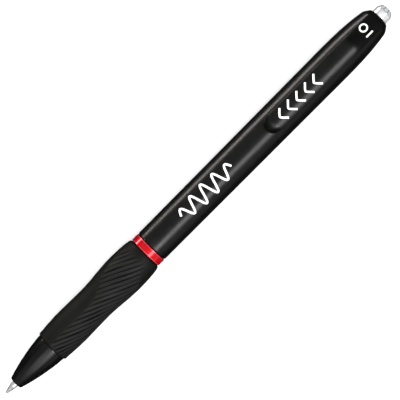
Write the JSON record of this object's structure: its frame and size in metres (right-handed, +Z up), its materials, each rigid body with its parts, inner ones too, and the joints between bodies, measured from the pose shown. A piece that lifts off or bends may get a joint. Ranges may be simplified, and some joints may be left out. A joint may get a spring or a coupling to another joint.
{
  "type": "retractable gel pen",
  "caption": "Click gel pen with a contoured rubber grip, red trim ring, springy pocket clip, faceted push button and a removable refill.",
  "frame": {"origin": "under the middle of the pen's length, on the surface that the bulge of the grip rests on", "axes": "+X along the pen from the writing tip to the push button, +Z up through the clip"},
  "size_m": [0.144, 0.0116, 0.0138],
  "materials": {
    "gloss_black": "moulded, polished",
    "satin_black": "satin moulded",
    "rubber_black": "matte, ribbed",
    "ring_red": "metallic red",
    "button_chrome": "polished plating",
    "tip_steel": "fine turned",
    "carbide": "ground",
    "spring_steel": "drawn wire",
    "white_plastic": "moulded",
    "clear_plastic": "clear extruded plastic",
    "red_ink": "wet gel",
    "clear_grease": "clear grease"
  },
  "bodies": {
    "barrel": {"barrel": "satin_black", "clip_root": "satin_black", "cam_sleeve": "white_plastic", "return_spring": "spring_steel"},
    "clip": {"clip_arm": "satin_black"},
    "ring": {"accent_ring": "ring_red"},
    "front": {"front_section": "gloss_black", "grip_sleeve": "rubber_black"},
    "button": {"push_button": "button_chrome", "plunger": "white_plastic"},
    "refill": {"refill_tip": "tip_steel", "tip_holder": "white_plastic", "ink_tube": "clear_plastic", "gel_ink": "red_ink", "ink_follower": "clear_grease", "tail_plug": "white_plastic"},
    "rotor": {"cam_rotor": "white_plastic"},
    "ball": {"tip_ball": "carbide"}
  },
  "joints": [
    {"name": "button_press", "type": "slide", "parent": "barrel", "child": "button", "axis": [-1, 0, 0], "range_m": [-0.0055, 0.001], "stiffness_N_per_m": 150},
    {"name": "refill_slide", "type": "slide", "parent": "barrel", "child": "refill", "axis": [-1, 0, 0], "range_m": [-0.0055, 0.001], "deforming": ["return_spring"]},
    {"name": "rotor_index", "type": "hinge", "parent": "refill", "child": "rotor", "pos_m": [0.0426, 0, 0.00576], "axis": [1, 0, 0], "range_deg": [-46, 9]},
    {"name": "clip_flex", "type": "hinge", "parent": "barrel", "child": "clip", "pos_m": [0.05762, 0, 0.0131], "axis": [0, 1, 0], "range_deg": [0, 5], "stiffness_Nm_per_rad": 1.2},
    {"name": "section_unscrew", "type": "hinge", "parent": "barrel", "child": "ring", "pos_m": [-0.0182, 0, 0.00576], "axis": [-1, 0, 0], "range_deg": [0, 1080]},
    {"name": "section_advance", "type": "slide", "parent": "ring", "child": "front", "axis": [-1, 0, 0], "range_m": [0, 0.0046]},
    {"name": "ball_roll", "type": "hinge", "parent": "refill", "child": "ball", "pos_m": [-0.07165, 0, 0.00576], "axis": [0, 1, 0], "continuous": true}
  ],
  "couplings": [
    {"joint": "refill_slide", "follows": "button_press", "ratio": 1},
    {"joint": "rotor_index", "follows": "button_press", "rad_per_m": 142.8},
    {"joint": "section_advance", "follows": "section_unscrew", "m_per_rad": 0.00023873}
  ]
}
